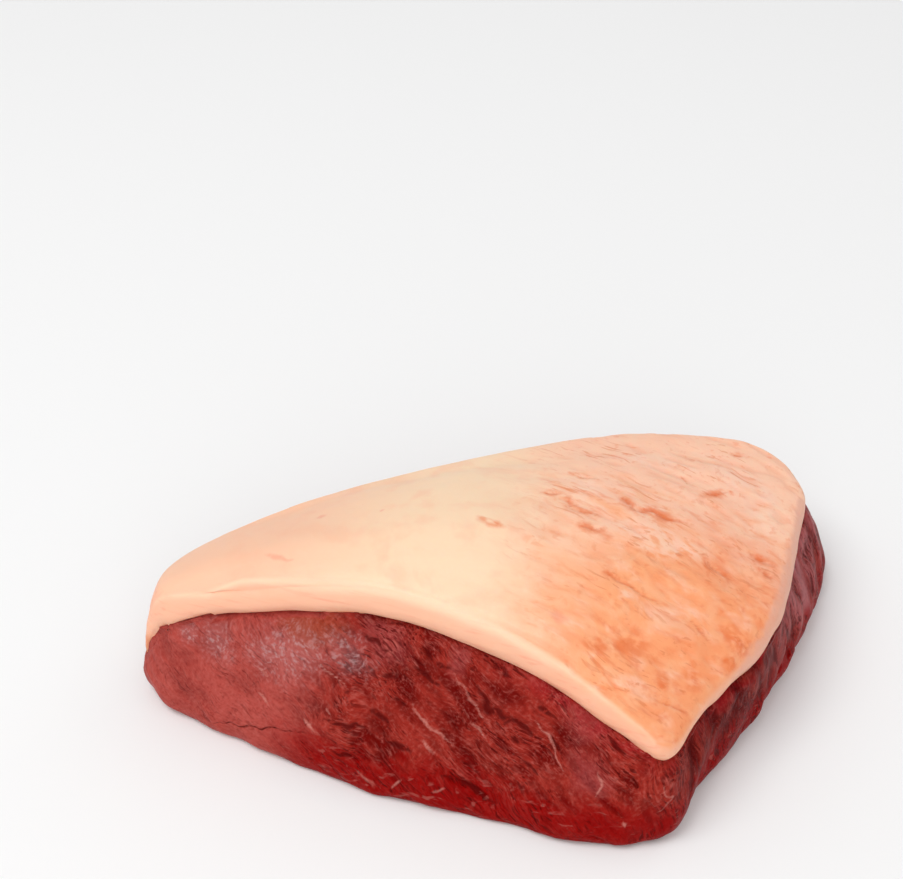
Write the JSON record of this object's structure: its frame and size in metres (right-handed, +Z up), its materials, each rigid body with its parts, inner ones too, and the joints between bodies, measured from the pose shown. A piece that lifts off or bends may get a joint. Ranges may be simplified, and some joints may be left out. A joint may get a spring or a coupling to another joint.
{
  "type": "raw picanha",
  "caption": "Raw triangular beef rump cap lying on its lean side: dark red muscle under a cream fat cap, trimmed along the long front side and the wide end.",
  "frame": {"origin": "under the middle of the bounding box, on the surface that the cut lies on", "axes": "+Z up through the fat cap; +X from the narrow tip to the wide end; -Y the long front side"},
  "size_m": [0.237, 0.1835, 0.0731],
  "materials": {
    "lean_beef": "raw lean beef: moist dark red muscle with fine grain, pale marbling and a thin silvery membrane in places",
    "beef_fat": "raw beef fat: waxy cream skin, satin, with orange and pink tints, fine wrinkles and shallow cracks"
  },
  "bodies": {
    "root": {"lean": "lean_beef", "fat_cap": "beef_fat"}
  },
  "joints": []
}
